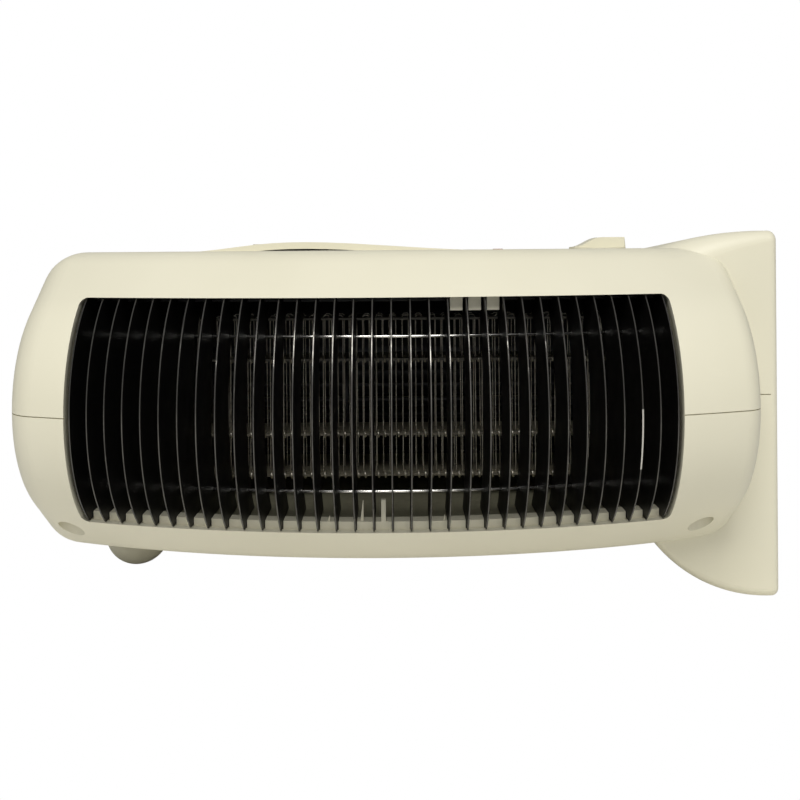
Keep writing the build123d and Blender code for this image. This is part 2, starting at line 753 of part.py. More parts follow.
def duct_floor():
    """Reflecting floor, carried round under the wheel as its scroll."""
    inner = WHEEL_R + WHEEL_GAP
    outer = inner + SHEET
    centre = (WHEEL_Y, WHEEL_Z)
    low = -pi / 4
    face = outline([
        Line((0, DUCT_FLOOR), (0, DUCT_FLOOR - SHEET)),
        Line((0, DUCT_FLOOR - SHEET), (WHEEL_Y, DUCT_FLOOR - SHEET)),
        ThreePointArc((WHEEL_Y, DUCT_FLOOR - SHEET),
                      (centre[0] + outer * cos(low), centre[1] + outer * sin(low)),
                      (WHEEL_Y + outer, WHEEL_Z)),
        Line((WHEEL_Y + outer, WHEEL_Z), (WHEEL_Y + outer, WHEEL_Z + SCROLL_LIP)),
        Line((WHEEL_Y + outer, WHEEL_Z + SCROLL_LIP), (WHEEL_Y + inner, WHEEL_Z + SCROLL_LIP)),
        Line((WHEEL_Y + inner, WHEEL_Z + SCROLL_LIP), (WHEEL_Y + inner, WHEEL_Z)),
        ThreePointArc((WHEEL_Y + inner, WHEEL_Z),
                      (centre[0] + inner * cos(low), centre[1] + inner * sin(low)),
                      (WHEEL_Y, DUCT_FLOOR)),
        Line((WHEEL_Y, DUCT_FLOOR), (0, DUCT_FLOOR)),
    ])
    return trimmed_sheet(side_prism(face, SIDE_X0, SIDE_X1))


def duct_roof():
    """Roof, bent down at the back as the tongue in front of the wheel."""
    fall = DUCT_ROOF - TONGUE_END_Z
    run = TONGUE_END_Y - TONGUE_START
    length = sqrt(fall ** 2 + run ** 2)
    across = (SHEET * fall / length, SHEET * run / length)
    face = outline(loops([
        (0, DUCT_ROOF),
        (TONGUE_START, DUCT_ROOF),
        (TONGUE_END_Y, TONGUE_END_Z),
        (TONGUE_END_Y + across[0], TONGUE_END_Z + across[1]),
        (TONGUE_START + SHEET * (length - run) / fall, DUCT_ROOF + SHEET),
        (0, DUCT_ROOF + SHEET),
    ]))
    return trimmed_sheet(side_prism(face, SIDE_X0, SIDE_X1))


def cheek_outline():
    """Side view of a cheek, resting just above the bottom of the lower shell."""
    low = -(CORE_HALF - WALL) + FIT
    face = rectangle(CHEEK_FRONT, CHEEK_BACK, low, CHEEK_TOP)
    return fillet(face.vertices(), CHEEK_CORNER_R)


def left_cheek():
    """Cheek between the motor and the wheel."""
    plate = side_prism(cheek_outline(), CHEEK_X0, DUCT_X0)
    holes = [rod_x(MOTOR_BUSH_R, CHEEK_X0 - CLEAR, DUCT_X0 + CLEAR, WHEEL_Y, WHEEL_Z)]
    holes += [rod_x(MOTOR_SCREW_R + FIT, CHEEK_X0 - CLEAR, DUCT_X0 + CLEAR, y, WHEEL_Z)
              for y in motor_screw_places()]
    return plate - holes


def right_cheek():
    """Cheek at the far bearing."""
    plate = side_prism(cheek_outline(), SIDE_X1, SIDE_X1 + CHEEK)
    return plate - rod_x(MOUNT_R, SIDE_X1 - CLEAR, SIDE_X1 + CHEEK + CLEAR, WHEEL_Y, WHEEL_Z)


def motor_baffle():
    """Dark plate that closes the grille in front of the motor."""
    back = CHEEK_FRONT - CLEAR
    return block(SIDE_X0, DUCT_X0, back - BAFFLE, back, DUCT_FLOOR, DUCT_ROOF)


# Blower

def wheel_polar(radius, turn):
    """Point of the wheel's side view."""
    return (WHEEL_Y + radius * cos(radians(turn)), WHEEL_Z + radius * sin(radians(turn)))


def blade_outline(turn):
    """Side view of one curved blade."""
    def pair(radius, angle):
        half = BLADE / 2 / radius * 180 / pi
        return wheel_polar(radius, angle - half), wheel_polar(radius, angle + half)

    out_a, out_b = pair(BLADE_OUT_R, turn)
    mid_a, mid_b = pair(BLADE_MID_R, turn + BLADE_MID_TURN)
    in_a, in_b = pair(BLADE_IN_R, turn + BLADE_IN_TURN)
    return outline([
        ThreePointArc(out_a, mid_a, in_a),
        Line(in_a, in_b),
        ThreePointArc(in_b, mid_b, out_b),
        Line(out_b, out_a),
    ])


def fan_wheel():
    """Cross-flow wheel: end discs, rings between them and curved blades."""
    first = side_prism(blade_outline(0), WHEEL_X0 + WHEEL_DISC / 2, WHEEL_X1 - WHEEL_DISC / 2)
    axis = Axis((0, WHEEL_Y, WHEEL_Z), (1, 0, 0))
    blades = [first.rotate(axis, 360 / BLADES * i) for i in range(BLADES)]
    discs = [
        rod_x(WHEEL_R, WHEEL_X0, WHEEL_X0 + WHEEL_DISC, WHEEL_Y, WHEEL_Z),
        rod_x(WHEEL_R, WHEEL_X1 - WHEEL_DISC, WHEEL_X1, WHEEL_Y, WHEEL_Z),
        rod_x(HUB_R, WHEEL_X0, WHEEL_X0 + HUB_LENGTH, WHEEL_Y, WHEEL_Z),
        rod_x(HUB_R, WHEEL_X1 - HUB_LENGTH, WHEEL_X1, WHEEL_Y, WHEEL_Z),
    ]
    for i in range(1, RING_COUNT + 1):
        x = WHEEL_X0 + (WHEEL_X1 - WHEEL_X0) * i / (RING_COUNT + 1)
        ring = rod_x(WHEEL_R, x - RING / 2, x + RING / 2, WHEEL_Y, WHEEL_Z)
        discs.append(ring - rod_x(RING_IN_R, x - RING, x + RING, WHEEL_Y, WHEEL_Z))
    wheel = blades[0] + blades[1:] + discs
    bores = [
        rod_x(SHAFT_R, WHEEL_X0 - CLEAR, WHEEL_X0 + HUB_LENGTH, WHEEL_Y, WHEEL_Z),
        rod_x(SHAFT_R, WHEEL_X1 - HUB_LENGTH, WHEEL_X1 + CLEAR, WHEEL_Y, WHEEL_Z),
    ]
    return wheel - bores


def stub_shaft():
    """Short shaft at the wheel's far end."""
    return rod_x(SHAFT_R, WHEEL_X1 - HUB_LENGTH, SIDE_X1 + CHEEK + STUB_OUT, WHEEL_Y, WHEEL_Z)


def bearing_mount():
    """Rubber ring in the right cheek, flanged on both faces."""
    x0, x1 = SIDE_X1, SIDE_X1 + CHEEK
    ring = rod_x(MOUNT_R, x0, x1, WHEEL_Y, WHEEL_Z)
    ring = ring + [
        rod_x(MOUNT_FLANGE_R, x0 - MOUNT_FLANGE, x0, WHEEL_Y, WHEEL_Z),
        rod_x(MOUNT_FLANGE_R, x1, x1 + MOUNT_FLANGE, WHEEL_Y, WHEEL_Z),
    ]
    return ring - rod_x(BUSH_R, x0 - CHEEK, x1 + CHEEK, WHEEL_Y, WHEEL_Z)


def bush(radius, x0, x1):
    """Plain bearing bush round the shaft."""
    ring = rod_x(radius, x0, x1, WHEEL_Y, WHEEL_Z)
    return ring - rod_x(SHAFT_R + RUNNING_FIT, x0 - CLEAR, x1 + CLEAR, WHEEL_Y, WHEEL_Z)


def far_bush():
    """Bush in the rubber ring."""
    return bush(BUSH_R, SIDE_X1 - MOUNT_FLANGE, SIDE_X1 + CHEEK + MOUNT_FLANGE)


# Motor

def motor_screw_places():
    """Places of the two motor screws along y."""
    out = STACK_HALF_WIDTH - MOTOR_SCREW_IN
    return (WHEEL_Y - out, WHEEL_Y + out)


def motor_stack():
    """Lamination stack with the rotor's bore and the winding's window."""
    stack = block(STACK_X0, STACK_X1, WHEEL_Y - STACK_HALF_WIDTH, WHEEL_Y + STACK_HALF_WIDTH,
                  WHEEL_Z - STACK_BELOW, STACK_TOP)
    window = block(STACK_X0 - CLEAR, STACK_X1 + CLEAR, WHEEL_Y - WINDOW_HALF,
                   WHEEL_Y + WINDOW_HALF, LEG_Z - WINDOW_HEIGHT, LEG_Z)
    bore = rod_x(STACK_BORE_R, STACK_X0 - CLEAR, STACK_X1 + CLEAR, WHEEL_Y, WHEEL_Z)
    holes = [rod_x(MOTOR_SCREW_R + FIT, STACK_X0 - CLEAR, STACK_X1 + CLEAR, y, WHEEL_Z)
             for y in motor_screw_places()]
    return stack - window - bore - holes


def round_leg(rise, half, edge):
    """Box round the stack's upper leg, rise thick on all sides, half long each way."""
    solid = block(STACK_X0 - rise, STACK_X1 + rise, WHEEL_Y - half, WHEEL_Y + half,
                  LEG_Z - rise, STACK_TOP + rise)
    return fillet(solid.edges().filter_by(Axis.Y), edge) if edge else solid


def motor_bobbin():
    """Flanged plastic bobbin on the upper leg."""
    half = WINDOW_HALF - FIT
    tube = round_leg(BOBBIN + FIT, half, 0)
    flanges = round_leg(BOBBIN_RISE, half, WINDING_R) - round_leg(FAR, half - BOBBIN, 0)
    return tube + flanges - round_leg(FIT, FAR, 0)


def motor_winding():
    """Wound copper between the bobbin's flanges."""
    solid = round_leg(WINDING_RISE, WINDOW_HALF - FIT - BOBBIN, WINDING_R)
    return solid - round_leg(BOBBIN + FIT, FAR, 0)


def motor_bracket(side):
    """Bearing bracket in front of (side 1) or behind (side -1) the stack."""
    face = STACK_X1 if side > 0 else STACK_X0
    feet = sorted((face, face + side * BRACKET_STANDOFF))
    bridge = sorted((face + side * BRACKET_STANDOFF, face + side * (BRACKET_STANDOFF + BRACKET)))
    z0, z1 = WHEEL_Z - BRACKET_HALF_HEIGHT, WHEEL_Z + BRACKET_HALF_HEIGHT
    y0, y1 = WHEEL_Y - STACK_HALF_WIDTH, WHEEL_Y + STACK_HALF_WIDTH
    plate = block(*bridge, y0, y1, z0, z1)
    legs = [block(*feet, y0, y0 + BRACKET_FOOT, z0, z1), block(*feet, y1 - BRACKET_FOOT, y1, z0, z1)]
    far = face + side * (BRACKET_STANDOFF + BRACKET)
    boss = rod_x(BOSS_R, *sorted((far, far - side * BOSS_LENGTH)), WHEEL_Y, WHEEL_Z)
    holes = [rod_x(MOTOR_SCREW_R + FIT, STACK_X0 - FAR, STACK_X1 + FAR, y, WHEEL_Z)
             for y in motor_screw_places()]
    holes.append(rod_x(MOTOR_BUSH_R, STACK_X0 - FAR, STACK_X1 + FAR, WHEEL_Y, WHEEL_Z))
    return plate + legs + boss - holes


def motor_bushes():
    """Bushes in both brackets."""
    reach = BRACKET_STANDOFF + BRACKET
    return group([
        bush(MOTOR_BUSH_R, STACK_X1 + reach - BOSS_LENGTH, STACK_X1 + reach),
        bush(MOTOR_BUSH_R, STACK_X0 - reach, STACK_X0 - reach + BOSS_LENGTH),
    ])


def motor_shaft():
    """Shaft from behind the rear bracket into the wheel's hub."""
    x0 = STACK_X0 - BRACKET_STANDOFF - BRACKET - SHAFT_TAIL
    return rod_x(SHAFT_R, x0, WHEEL_X0 + HUB_LENGTH, WHEEL_Y, WHEEL_Z)


def motor_rotor():
    """Rotor pressed on the shaft."""
    rotor = rod_x(ROTOR_R, STACK_X0 + CLEAR, STACK_X1 - CLEAR, WHEEL_Y, WHEEL_Z)
    return rotor - rod_x(SHAFT_R, STACK_X0, STACK_X1, WHEEL_Y, WHEEL_Z)


def motor_screws():
    """Long screws through brackets and stack into the cheek."""
    seat = STACK_X0 - BRACKET_STANDOFF - BRACKET
    screws = []
    for y in motor_screw_places():
        head = rod_x(MOTOR_SCREW_HEAD_R, seat - MOTOR_SCREW_HEAD, seat, y, WHEEL_Z)
        screws.append(head + rod_x(MOTOR_SCREW_R, seat, DUCT_X0 + MOTOR_SCREW_END, y, WHEEL_Z))
    return group(screws)


# Heating element

def board_heights():
    """Heights of the four mica boards."""
    return (-BOARD_OUTER_Z, -BOARD_INNER_Z, BOARD_INNER_Z, BOARD_OUTER_Z)


def wire_places():
    """Places of the wire's upright runs along x."""
    first = ELEMENT_X0 + END_BOARD + WIRE_MARGIN
    last = ELEMENT_X1 - END_BOARD - WIRE_MARGIN
    runs = 2 * WIRE_LOOPS
    return [first + (last - first) * i / (runs - 1) for i in range(runs)]


def element_boards():
    """Mica boards with the holes that the wire passes."""
    holes = [rod_z(WIRE_HOLE_R, -DEPTH / 2, DEPTH / 2, x, ELEMENT_FRONT + row)
             for x in wire_places() for row in WIRE_ROWS]
    boards = []
    for z in board_heights():
        board = block(ELEMENT_X0 + END_BOARD, ELEMENT_X1 - END_BOARD, ELEMENT_FRONT,
                      ELEMENT_FRONT + ELEMENT_DEPTH, z - BOARD / 2, z + BOARD / 2)
        boards.append(board - holes)
    return group(boards)


def element_ends():
    """Upright plates at both ends of the element, between duct floor and roof."""
    return group(
        block(x, x + END_BOARD, ELEMENT_FRONT, ELEMENT_FRONT + ELEMENT_DEPTH, DUCT_FLOOR, DUCT_ROOF)
        for x in (ELEMENT_X0, ELEMENT_X1 - END_BOARD)
    )


def element_wire():
    """Two rows of zigzag resistance wire."""
    bend = BOARD_OUTER_Z + BOARD / 2 + WIRE_LIFT + WIRE_R
    rows = []
    for row in WIRE_ROWS:
        y = ELEMENT_FRONT + row
        points = []
        for i, x in enumerate(wire_places()):
            ends = [(x, y, -bend), (x, y, bend)]
            points += ends if i % 2 == 0 else ends[::-1]
        points[0] = (points[0][0], y, -bend - WIRE_TAIL)
        points[-1] = (points[-1][0], y, -bend - WIRE_TAIL)
        path = FilletPolyline(*points, radius=WIRE_BEND_R)
        rows.append(sweep(Plane(path @ 0, z_dir=path % 0) * Circle(WIRE_R), path=path))
    return group(rows)


def thermal_cutout():
    """Cut-out that lies on the duct roof above the element."""
    x = DUCT_X0 + CUTOUT_FROM_CHEEK
    sx, sy, sz = CUTOUT_SIZE
    z = DUCT_ROOF + SHEET
    box = block(x - sx / 2, x + sx / 2, CUTOUT_Y - sy / 2, CUTOUT_Y + sy / 2, z, z + sz)
    return fillet(box.edges().filter_by(Axis.Z), WALL)


# Controls

def boxed(size, x, y, top):
    """Box of a given size, centred at x and y, hanging from top."""
    sx, sy, sz = size
    return block(x - sx / 2, x + sx / 2, y - sy / 2, y + sy / 2, top - sz, top)


def selector_switch():
    """Rotary power switch under the top of the upper shell."""
    body_block = boxed(SWITCH_SIZE, KNOB_X, CONTROL_Y, CORE_INNER_TOP)
    socket = rod_z(SPINDLE_R + RUNNING_FIT, CORE_INNER_TOP - SPINDLE_IN, FAR, KNOB_X, CONTROL_Y)
    return fillet(body_block.edges().filter_by(Axis.Z), WALL) - socket


def knob_low():
    """Height of the knob's underside, above the floor of its well."""
    return CORE_HALF - KNOB_WELL + KNOB_LIFT


def selector_spindle():
    """Spindle from the switch into the knob."""
    top = knob_low() + KNOB_SOCKET
    return rod_z(SPINDLE_R, CORE_INNER_TOP - SPINDLE_IN + CLEAR, top, KNOB_X, CONTROL_Y)


def selector_knob():
    """Round knob whose grip rises towards one side and ends in a steep face."""
    low = knob_low()
    disc = rod_z(KNOB_R, low, low + KNOB_DISC, KNOB_X, CONTROL_Y)
    top = low + KNOB_DISC
    rise = Spline((-KNOB_R, top + GRIP_LOW), (GRIP_CREST_FROM, top + GRIP_RISE),
                  tangents=((1, 0), (1, 0)))
    face = make_face([
        Line((-KNOB_R, low + FIT), (-KNOB_R, top + GRIP_LOW)),
        rise,
        Line((GRIP_CREST_FROM, top + GRIP_RISE), (GRIP_CREST_TO, top + GRIP_RISE)),
        Line((GRIP_CREST_TO, top + GRIP_RISE), (GRIP_FOOT, low + FIT)),
        Line((GRIP_FOOT, low + FIT), (-KNOB_R, low + FIT)),
    ])
    grip = extrude(Plane.XZ.offset(GRIP_HALF) * face, -2 * GRIP_HALF)
    grip = Pos(KNOB_X, CONTROL_Y, 0) * grip
    grip = grip & rod_z(KNOB_R, low, top + FAR, KNOB_X, CONTROL_Y)
    knob = disc + grip
    return knob - rod_z(SPINDLE_R, low - CLEAR, low + KNOB_SOCKET, KNOB_X, CONTROL_Y)


def dial_low():
    """Height of the thermostat dial's underside."""
    return FIELD_TOP - DIAL_THICK


def thermostat_dial():
    """Flat dial with a fluted rim, sunk in the raised field."""
    low = dial_low()
    dial = rod_z(DIAL_R, low, low + DIAL_THICK, DIAL_X, CONTROL_Y)
    flutes = []
    for i in range(DIAL_FLUTES):
        angle = 2 * pi * i / DIAL_FLUTES
        flutes.append(rod_z(DIAL_FLUTE_R, low - CLEAR, low + DIAL_THICK + CLEAR,
                            DIAL_X + DIAL_R * cos(angle), CONTROL_Y + DIAL_R * sin(angle)))
    return dial - flutes


def thermostat_top():
    """Height of the thermostat's upper face, on the boss of the upper shell."""
    return FIELD_TOP - DIAL_BOSS_DEPTH - DIAL_THICK


def thermostat_body():
    """Room thermostat under the boss."""
    body_block = boxed(THERMOSTAT_SIZE, DIAL_X, CONTROL_Y, thermostat_top())
    socket = rod_z(SPINDLE_R + RUNNING_FIT, thermostat_top() - SPINDLE_IN, FAR, DIAL_X, CONTROL_Y)
    return fillet(body_block.edges().filter_by(Axis.Z), WALL) - socket


def thermostat_spindle():
    """Spindle from the thermostat to the underside of the dial."""
    return rod_z(SPINDLE_R, thermostat_top() - SPINDLE_IN + CLEAR, dial_low(), DIAL_X, CONTROL_Y)


def indicator_lens():
    """Round lens through the top."""
    top = CORE_HALF + LENS_RISE
    lens = rod_z(LENS_R, CORE_HALF - LENS_IN, top, LAMP_X, CONTROL_Y)
    edge = lens.edges().filter_by(GeomType.CIRCLE).sort_by(Axis.Z)[-1]
    return fillet(edge, LENS_RISE - FIT)


def indicator_lamp():
    """Lamp behind the lens."""
    top = CORE_HALF - LENS_IN
    return rod_z(LAMP_R, top - LAMP_LENGTH, top, LAMP_X, CONTROL_Y)


# Wiring and inlet

def terminal_block():
    """Terminal block on the outer face of the right cheek."""
    sx, sy, sz = BLOCK_SIZE
    x0 = SIDE_X1 + CHEEK
    box = block(x0, x0 + sx, BLOCK_Y - sy / 2, BLOCK_Y + sy / 2, BLOCK_Z - sz / 2, BLOCK_Z + sz / 2)
    return fillet(box.edges().filter_by(Axis.X), BLOCK_EDGE_R)


def lead(points):
    """One insulated lead along straight runs and bends."""
    if len(points) == 2:
        path = Line(*points)
    else:
        path = FilletPolyline(*points, radius=LEAD_BEND_R)
    return sweep(Plane(path @ 0, z_dir=path % 0) * Circle(LEAD_R), path=path)


def leads():
    """Leads between winding, thermostat, selector and terminal block."""
    winding_x = STACK_X1 + BOBBIN_RISE
    dial_x0 = DIAL_X - THERMOSTAT_SIZE[0] / 2
    dial_x1 = DIAL_X + THERMOSTAT_SIZE[0] / 2
    knob_x0 = KNOB_X - SWITCH_SIZE[0] / 2
    knob_x1 = KNOB_X + SWITCH_SIZE[0] / 2
    y = CONTROL_Y + LEAD_OFFSET_Y
    block_x = SIDE_X1 + CHEEK + BLOCK_SIZE[0] / 2
    block_top = BLOCK_Z + BLOCK_SIZE[2] / 2
    return group([
        lead([(winding_x + CLEAR, y, LEAD_Z), (dial_x0 - CLEAR, y, LEAD_Z)]),
        lead([(dial_x1 + CLEAR, y, LEAD_Z), (knob_x0 - CLEAR, y, LEAD_Z)]),
        lead([(block_x, y, block_top + CLEAR), (block_x, y, LEAD_Z), (knob_x1 + CLEAR, y, LEAD_Z)]),
    ])


def cord_gland():
    """Inlet for the mains cord in the back wall, flanged outside and held by a ring inside."""
    inner = CORE_BACK - WALL
    gland = rod_y(GLAND_R, inner - GLAND_NUT, CORE_BACK + GLAND_FLANGE, GLAND_X, GLAND_Z)
    flange = rod_y(GLAND_FLANGE_R, CORE_BACK, CORE_BACK + GLAND_FLANGE, GLAND_X, GLAND_Z)
    edge = flange.edges().filter_by(GeomType.CIRCLE).sort_by(Axis.Y)[-1]
    ring = rod_y(GLAND_FLANGE_R, inner - GLAND_NUT, inner, GLAND_X, GLAND_Z)
    gland = gland + fillet(edge, GLAND_EDGE_R) + ring
    return gland - rod_y(GLAND_BORE_R, inner - FAR, CORE_BACK + FAR, GLAND_X, GLAND_Z)


def rear_grille():
    """Slotted inlet panel, flush in the back wall, with a flange behind the wall."""
    panel = inlet_cut(-CLEAR) & block(-FAR, FAR, CORE_BACK - WALL, CORE_BACK, -FAR, FAR)
    back = CORE_BACK - WALL
    flange = block(INLET_X0 - INLET_LAP, INLET_X1 + INLET_LAP, back - INLET_FLANGE, back,
                   -INLET_HALF - INLET_LAP, INLET_HALF + INLET_LAP)
    span = INLET_LENGTH - 2 * INLET_MARGIN - INLET_SLOT
    columns = int(span / INLET_PITCH) + 1
    first = (INLET_X0 + INLET_X1) / 2 - INLET_PITCH * (columns - 1) / 2
    slots = []
    for column in range(columns):
        x = first + column * INLET_PITCH
        for row in range(INLET_ROWS):
            z = (row - (INLET_ROWS - 1) / 2) * INLET_ROW_PITCH
            slots.append(block(x - INLET_SLOT / 2, x + INLET_SLOT / 2, back - FAR, CORE_BACK + FAR,
                               z - INLET_SLOT_HEIGHT / 2, z + INLET_SLOT_HEIGHT / 2))
    return panel + flange - slots


# Base and foot

def base_plate():
    """Plate that closes the flared base, with sunk screw seats and pad seats."""
    plate = side_prism(flare_section(X_PLATE, 0), X_PLATE, X_BASE)
    rim = [e for e in plate.edges() if abs(e.center().X - X_BASE) < FIT]
    plate = fillet(rim, PLATE_EDGE_R)
    seats = [rod_x(BASE_SCREW_HEAD_R + FIT, X_BASE - BASE_SCREW_SINK, X_BASE + CLEAR, y, z)
             for y, z in BASE_POSTS]
    ways = [rod_x(SCREW_R + FIT, X_PLATE - CLEAR, X_BASE, y, z) for y, z in BASE_POSTS]
    pads = [rod_x(PAD_R, X_BASE - PAD_SINK, X_BASE + CLEAR, y, z) for y, z in PADS]
    return plate - seats - ways - pads


def base_screws():
    """Screws of the base plate."""
    seat = X_BASE - BASE_SCREW_SINK
    return group(
        rod_x(BASE_SCREW_HEAD_R, seat, X_BASE - CLEAR, y, z)
        + rod_x(SCREW_R, X_PLATE - BASE_POST_LENGTH + WALL, seat, y, z)
        for y, z in BASE_POSTS
    )


def base_pads():
    """Rubber pads that the upright heater stands on."""
    pads = []
    for y, z in PADS:
        pad = rod_x(PAD_R, X_BASE - PAD_SINK, X_BASE + PAD_PROUD, y, z)
        edge = pad.edges().filter_by(GeomType.CIRCLE).sort_by(Axis.X)[-1]
        pads.append(fillet(edge, PAD_SINK))
    return group(pads)


def resting_foot(skin):
    """Round foot below the left end, with a stem into the lower shell."""
    centre = FLOOR + FOOT_R - FOOT_FLAT
    ball = Pos(FOOT_X, FOOT_Y, centre) * Sphere(FOOT_R)
    post = rod_z(FOOT_R, centre, -CORE_HALF / 2, FOOT_X, FOOT_Y)
    foot = (ball + post) & block(-FAR, FAR, -FAR, FAR, FLOOR, FAR)
    stem = rod_z(FOOT_STEM_R, -CORE_HALF - CLEAR, -CORE_HALF + FOOT_STEM, FOOT_X, FOOT_Y)
    return foot - skin + stem


def save(name, piece):
    """Move a piece into the object's own frame and write its file."""
    middle = (FIN_INSET + DEPTH) / 2
    export_step(Pos(0, -middle, SEAM_HEIGHT) * piece, os.path.join("parts", name + ".step"))


def main():
    os.makedirs("parts", exist_ok=True)
    skin, upper, lower = shells()
    save("upper_shell", upper)
    save("lower_shell", lower)
    save("resting_foot", resting_foot(skin))
    pieces = {
        "shell_screws": shell_screws(),
        "grille_fins": grille_fins(),
        "grille_rods": grille_rods(),
        "upper_comb": upper_comb(),
        "lower_comb": lower_comb(),
        "grille_side_plates": side_plates(),
        "duct_floor": duct_floor(),
        "duct_roof": duct_roof(),
        "left_cheek": left_cheek(),
        "right_cheek": right_cheek(),
        "motor_baffle": motor_baffle(),
        "fan_wheel": fan_wheel(),
        "stub_shaft": stub_shaft(),
        "bearing_mount": bearing_mount(),
        "far_bush": far_bush(),
        "motor_stack": motor_stack(),
        "motor_bobbin": motor_bobbin(),
        "motor_winding": motor_winding(),
        "motor_front_bracket": motor_bracket(1),
        "motor_rear_bracket": motor_bracket(-1),
        "motor_bushes": motor_bushes(),
        "motor_shaft": motor_shaft(),
        "motor_rotor": motor_rotor(),
        "motor_screws": motor_screws(),
        "element_boards": element_boards(),
        "element_ends": element_ends(),
        "element_wire": element_wire(),
        "thermal_cutout": thermal_cutout(),
        "selector_knob": selector_knob(),
        "selector_spindle": selector_spindle(),
        "selector_switch": selector_switch(),
        "thermostat_dial": thermostat_dial(),
        "thermostat_spindle": thermostat_spindle(),
        "thermostat_body": thermostat_body(),
        "indicator_lens": indicator_lens(),
        "indicator_lamp": indicator_lamp(),
        "terminal_block": terminal_block(),
        "leads": leads(),
        "cord_gland": cord_gland(),
        "rear_grille": rear_grille(),
        "base_plate": base_plate(),
        "base_screws": base_screws(),
        "base_pads": base_pads(),
    }
    for name, piece in pieces.items():
        save(name, piece)


main()
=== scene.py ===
import json
import math

import bpy
from mathutils import Euler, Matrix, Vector


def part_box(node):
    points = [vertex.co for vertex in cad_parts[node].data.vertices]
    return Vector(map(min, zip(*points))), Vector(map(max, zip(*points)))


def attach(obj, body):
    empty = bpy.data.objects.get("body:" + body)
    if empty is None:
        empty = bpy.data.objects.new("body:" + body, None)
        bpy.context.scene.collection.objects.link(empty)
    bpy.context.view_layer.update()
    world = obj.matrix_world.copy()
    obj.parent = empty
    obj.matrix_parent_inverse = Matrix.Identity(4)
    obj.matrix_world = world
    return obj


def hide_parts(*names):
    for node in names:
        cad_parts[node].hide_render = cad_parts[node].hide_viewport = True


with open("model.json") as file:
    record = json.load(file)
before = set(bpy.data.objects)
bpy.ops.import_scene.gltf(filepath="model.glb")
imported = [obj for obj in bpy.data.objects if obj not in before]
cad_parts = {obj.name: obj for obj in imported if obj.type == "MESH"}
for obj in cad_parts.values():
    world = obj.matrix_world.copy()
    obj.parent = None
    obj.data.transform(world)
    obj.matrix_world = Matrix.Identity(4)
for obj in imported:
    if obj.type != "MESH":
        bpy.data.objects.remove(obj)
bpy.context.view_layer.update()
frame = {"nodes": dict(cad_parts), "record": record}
nodes = frame["nodes"]

WHITE = (1.0, 1.0, 1.0, 1.0)


# Small helpers for node materials

def rgba(r, g, b):
    return (r, g, b, 1.0)


class Shader:
    """A node material under construction. Coordinates are the object's own, in millimetres."""

    def __init__(self, name):
        self.mat = bpy.data.materials.new(name)
        self.mat.use_nodes = True
        self.tree = self.mat.node_tree
        self.tree.nodes.clear()
        self.out = self.new("ShaderNodeOutputMaterial")
        self.bsdf = self.new("ShaderNodeBsdfPrincipled")
        self.tree.links.new(self.bsdf.outputs["BSDF"], self.out.inputs["Surface"])
        coords = self.new("ShaderNodeTexCoord")
        scale = self.new("ShaderNodeVectorMath")
        scale.operation = "SCALE"
        scale.inputs["Scale"].default_value = 1000.0
        self.tree.links.new(coords.outputs["Object"], scale.inputs[0])
        self.position = scale.outputs[0]

    def new(self, kind):
        return self.tree.nodes.new(kind)

    def put(self, socket, value):
        if isinstance(value, bpy.types.NodeSocket):
            self.tree.links.new(value, socket)
        else:
            socket.default_value = value

    def set(self, **values):
        for name, value in values.items():
            self.put(self.bsdf.inputs[name.replace("_", " ")], value)

    def stretch(self, x, y, z):
        node = self.new("ShaderNodeVectorMath")
        node.operation = "MULTIPLY"
        self.put(node.inputs[0], self.position)
        node.inputs[1].default_value = (x, y, z)
        return node.outputs[0]

    def noise(self, size, detail=2.0, rough=0.5, at=None):
        """Noise whose lumps are about size millimetres across."""
        node = self.new("ShaderNodeTexNoise")
        self.put(node.inputs["Vector"], at or self.position)
        node.inputs["Scale"].default_value = 1.0 / size
        node.inputs["Detail"].default_value = detail
        node.inputs["Roughness"].default_value = rough
        return node.outputs["Fac"]

    def spots(self, size):
        """Distance to scattered points about size millimetres apart."""
        node = self.new("ShaderNodeTexVoronoi")
        self.put(node.inputs["Vector"], self.position)
        node.inputs["Scale"].default_value = 1.0 / size
        return node.outputs["Distance"]

    def remap(self, value, low, high, to_low, to_high):
        node = self.new("ShaderNodeMapRange")
        self.put(node.inputs["Value"], value)
        limits = {"From Min": low, "From Max": high, "To Min": to_low, "To Max": to_high}
        for name, number in limits.items():
            node.inputs[name].default_value = number
        return node.outputs["Result"]

    def mix(self, fac, a, b):
        node = self.new("ShaderNodeMix")
        node.data_type = "RGBA"
        self.put(node.inputs[0], fac)
        self.put(node.inputs[6], a)
        self.put(node.inputs[7], b)
        return node.outputs[2]

    def math(self, operation, a, b=0.0):
        node = self.new("ShaderNodeMath")
        node.operation = operation
        self.put(node.inputs[0], a)
        self.put(node.inputs[1], b)
        return node.outputs[0]

    def near(self, a, b, reach):
        """1 where a is within reach of b, else 0."""
        value = self.math("COMPARE", a, b)
        value.node.inputs[2].default_value = reach
        return value

    def bump(self, height, strength, distance, below=None):
        node = self.new("ShaderNodeBump")
        node.inputs["Strength"].default_value = strength
        node.inputs["Distance"].default_value = distance / 1000.0
        self.put(node.inputs["Height"], height)
        if below is not None:
            self.put(node.inputs["Normal"], below)
        return node.outputs["Normal"]


